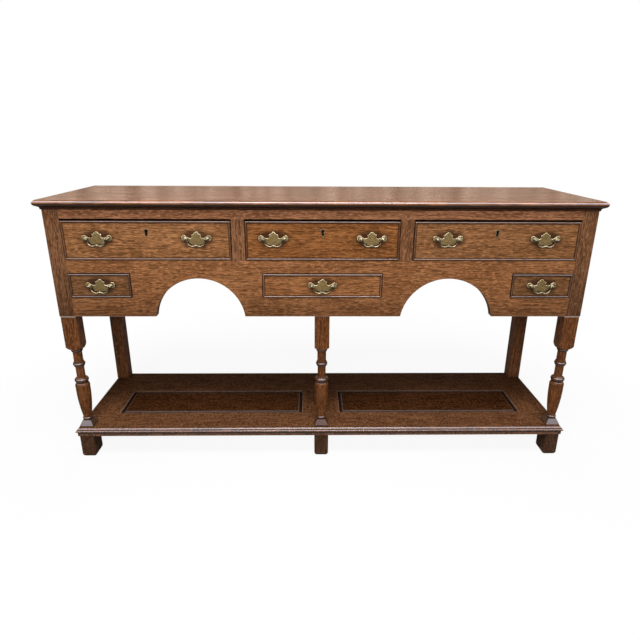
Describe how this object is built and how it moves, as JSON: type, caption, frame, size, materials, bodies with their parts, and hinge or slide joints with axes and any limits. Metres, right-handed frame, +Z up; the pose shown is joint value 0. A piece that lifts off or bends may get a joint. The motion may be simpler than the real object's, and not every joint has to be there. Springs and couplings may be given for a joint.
{
  "type": "dresser base",
  "caption": "Antique oak dresser base with deep drawers over an arched apron with small drawers, turned front legs, a panelled pot board and swan-neck brass handles.",
  "frame": {"origin": "on the floor, under the middle of the top", "axes": "+X to the right along the front as seen from the front, +Y towards the back, +Z up"},
  "size_m": [1.63, 0.442, 0.85],
  "materials": {
    "case_oak": "waxed",
    "drawer_oak": "waxed",
    "dark_oak": "worn wax",
    "polished_oak": "polished wax",
    "inner_oak": "bare",
    "aged_brass": "aged",
    "iron": "dull"
  },
  "bodies": {
    "carcase": {"back_boards": "case_oak", "back_post_left": "case_oak", "back_post_right": "case_oak", "back_rails": "inner_oak", "deep_drawer_runners": "inner_oak", "drawer_kickers": "inner_oak", "drawer_stops": "inner_oak", "end_panel_left": "case_oak", "end_panel_right": "case_oak", "front_apron": "case_oak", "front_feet": "dark_oak", "front_leg_centre": "case_oak", "front_leg_left": "case_oak", "front_leg_right": "case_oak", "front_muntins": "case_oak", "front_stile_left": "case_oak", "front_stile_right": "case_oak", "front_top_rail": "case_oak", "joint_pegs": "case_oak", "pot_board_back_rail": "dark_oak", "pot_board_end_rails": "dark_oak", "pot_board_front_rail": "dark_oak", "pot_board_muntin": "dark_oak", "pot_board_panels": "dark_oak", "small_drawer_runners": "inner_oak", "top_boards": "polished_oak", "top_cove_moulding": "polished_oak"},
    "deep_left_drawer": {"deep_left_drawer_box": "inner_oak", "deep_left_drawer_brasses": "aged_brass", "deep_left_drawer_front": "drawer_oak", "deep_left_drawer_lock": "iron"},
    "deep_left_bail_1": {"deep_left_bail_1": "aged_brass"},
    "deep_left_bail_2": {"deep_left_bail_2": "aged_brass"},
    "deep_left_lock_bolt": {"deep_left_lock_bolt": "iron"},
    "deep_centre_drawer": {"deep_centre_drawer_box": "inner_oak", "deep_centre_drawer_brasses": "aged_brass", "deep_centre_drawer_front": "drawer_oak", "deep_centre_drawer_lock": "iron"},
    "deep_centre_bail_1": {"deep_centre_bail_1": "aged_brass"},
    "deep_centre_bail_2": {"deep_centre_bail_2": "aged_brass"},
    "deep_centre_lock_bolt": {"deep_centre_lock_bolt": "iron"},
    "deep_right_drawer": {"deep_right_drawer_box": "inner_oak", "deep_right_drawer_brasses": "aged_brass", "deep_right_drawer_front": "drawer_oak", "deep_right_drawer_lock": "iron"},
    "deep_right_bail_1": {"deep_right_bail_1": "aged_brass"},
    "deep_right_bail_2": {"deep_right_bail_2": "aged_brass"},
    "deep_right_lock_bolt": {"deep_right_lock_bolt": "iron"},
    "small_left_drawer": {"small_left_drawer_box": "inner_oak", "small_left_drawer_brasses": "aged_brass", "small_left_drawer_front": "drawer_oak"},
    "small_left_bail": {"small_left_bail": "aged_brass"},
    "small_centre_drawer": {"small_centre_drawer_box": "inner_oak", "small_centre_drawer_brasses": "aged_brass", "small_centre_drawer_front": "drawer_oak"},
    "small_centre_bail": {"small_centre_bail": "aged_brass"},
    "small_right_drawer": {"small_right_drawer_box": "inner_oak", "small_right_drawer_brasses": "aged_brass", "small_right_drawer_front": "drawer_oak"},
    "small_right_bail": {"small_right_bail": "aged_brass"}
  },
  "joints": [
    {"name": "deep_left_drawer_slide", "type": "slide", "parent": "carcase", "child": "deep_left_drawer", "axis": [0, -1, 0], "range_m": [0, 0.28]},
    {"name": "deep_left_bail_1_hinge", "type": "hinge", "parent": "deep_left_drawer", "child": "deep_left_bail_1", "pos_m": [-0.654, -0.211, 0.73901], "axis": [-1, 0, 0], "range_deg": [-15, 195]},
    {"name": "deep_left_bail_2_hinge", "type": "hinge", "parent": "deep_left_drawer", "child": "deep_left_bail_2", "pos_m": [-0.367, -0.211, 0.73901], "axis": [-1, 0, 0], "range_deg": [-15, 195]},
    {"name": "deep_left_lock_bolt_slide", "type": "slide", "parent": "deep_left_drawer", "child": "deep_left_lock_bolt", "axis": [0, 0, 1], "range_m": [0, 0.0125]},
    {"name": "deep_centre_drawer_slide", "type": "slide", "parent": "carcase", "child": "deep_centre_drawer", "axis": [0, -1, 0], "range_m": [0, 0.28]},
    {"name": "deep_centre_bail_1_hinge", "type": "hinge", "parent": "deep_centre_drawer", "child": "deep_centre_bail_1", "pos_m": [-0.1435, -0.211, 0.73901], "axis": [-1, 0, 0], "range_deg": [-15, 195]},
    {"name": "deep_centre_bail_2_hinge", "type": "hinge", "parent": "deep_centre_drawer", "child": "deep_centre_bail_2", "pos_m": [0.1435, -0.211, 0.73901], "axis": [-1, 0, 0], "range_deg": [-15, 195]},
    {"name": "deep_centre_lock_bolt_slide", "type": "slide", "parent": "deep_centre_drawer", "child": "deep_centre_lock_bolt", "axis": [0, 0, 1], "range_m": [0, 0.0125]},
    {"name": "deep_right_drawer_slide", "type": "slide", "parent": "carcase", "child": "deep_right_drawer", "axis": [0, -1, 0], "range_m": [0, 0.28]},
    {"name": "deep_right_bail_1_hinge", "type": "hinge", "parent": "deep_right_drawer", "child": "deep_right_bail_1", "pos_m": [0.367, -0.211, 0.73901], "axis": [-1, 0, 0], "range_deg": [-15, 195]},
    {"name": "deep_right_bail_2_hinge", "type": "hinge", "parent": "deep_right_drawer", "child": "deep_right_bail_2", "pos_m": [0.654, -0.211, 0.73901], "axis": [-1, 0, 0], "range_deg": [-15, 195]},
    {"name": "deep_right_lock_bolt_slide", "type": "slide", "parent": "deep_right_drawer", "child": "deep_right_lock_bolt", "axis": [0, 0, 1], "range_m": [0, 0.0125]},
    {"name": "small_left_drawer_slide", "type": "slide", "parent": "carcase", "child": "small_left_drawer", "axis": [0, -1, 0], "range_m": [0, 0.28]},
    {"name": "small_left_bail_hinge", "type": "hinge", "parent": "small_left_drawer", "child": "small_left_bail", "pos_m": [-0.663, -0.211, 0.5975], "axis": [-1, 0, 0], "range_deg": [-15, 195]},
    {"name": "small_centre_drawer_slide", "type": "slide", "parent": "carcase", "child": "small_centre_drawer", "axis": [0, -1, 0], "range_m": [0, 0.28]},
    {"name": "small_centre_bail_hinge", "type": "hinge", "parent": "small_centre_drawer", "child": "small_centre_bail", "pos_m": [0, -0.211, 0.5975], "axis": [-1, 0, 0], "range_deg": [-15, 195]},
    {"name": "small_right_drawer_slide", "type": "slide", "parent": "carcase", "child": "small_right_drawer", "axis": [0, -1, 0], "range_m": [0, 0.28]},
    {"name": "small_right_bail_hinge", "type": "hinge", "parent": "small_right_drawer", "child": "small_right_bail", "pos_m": [0.663, -0.211, 0.5975], "axis": [-1, 0, 0], "range_deg": [-15, 195]}
  ]
}
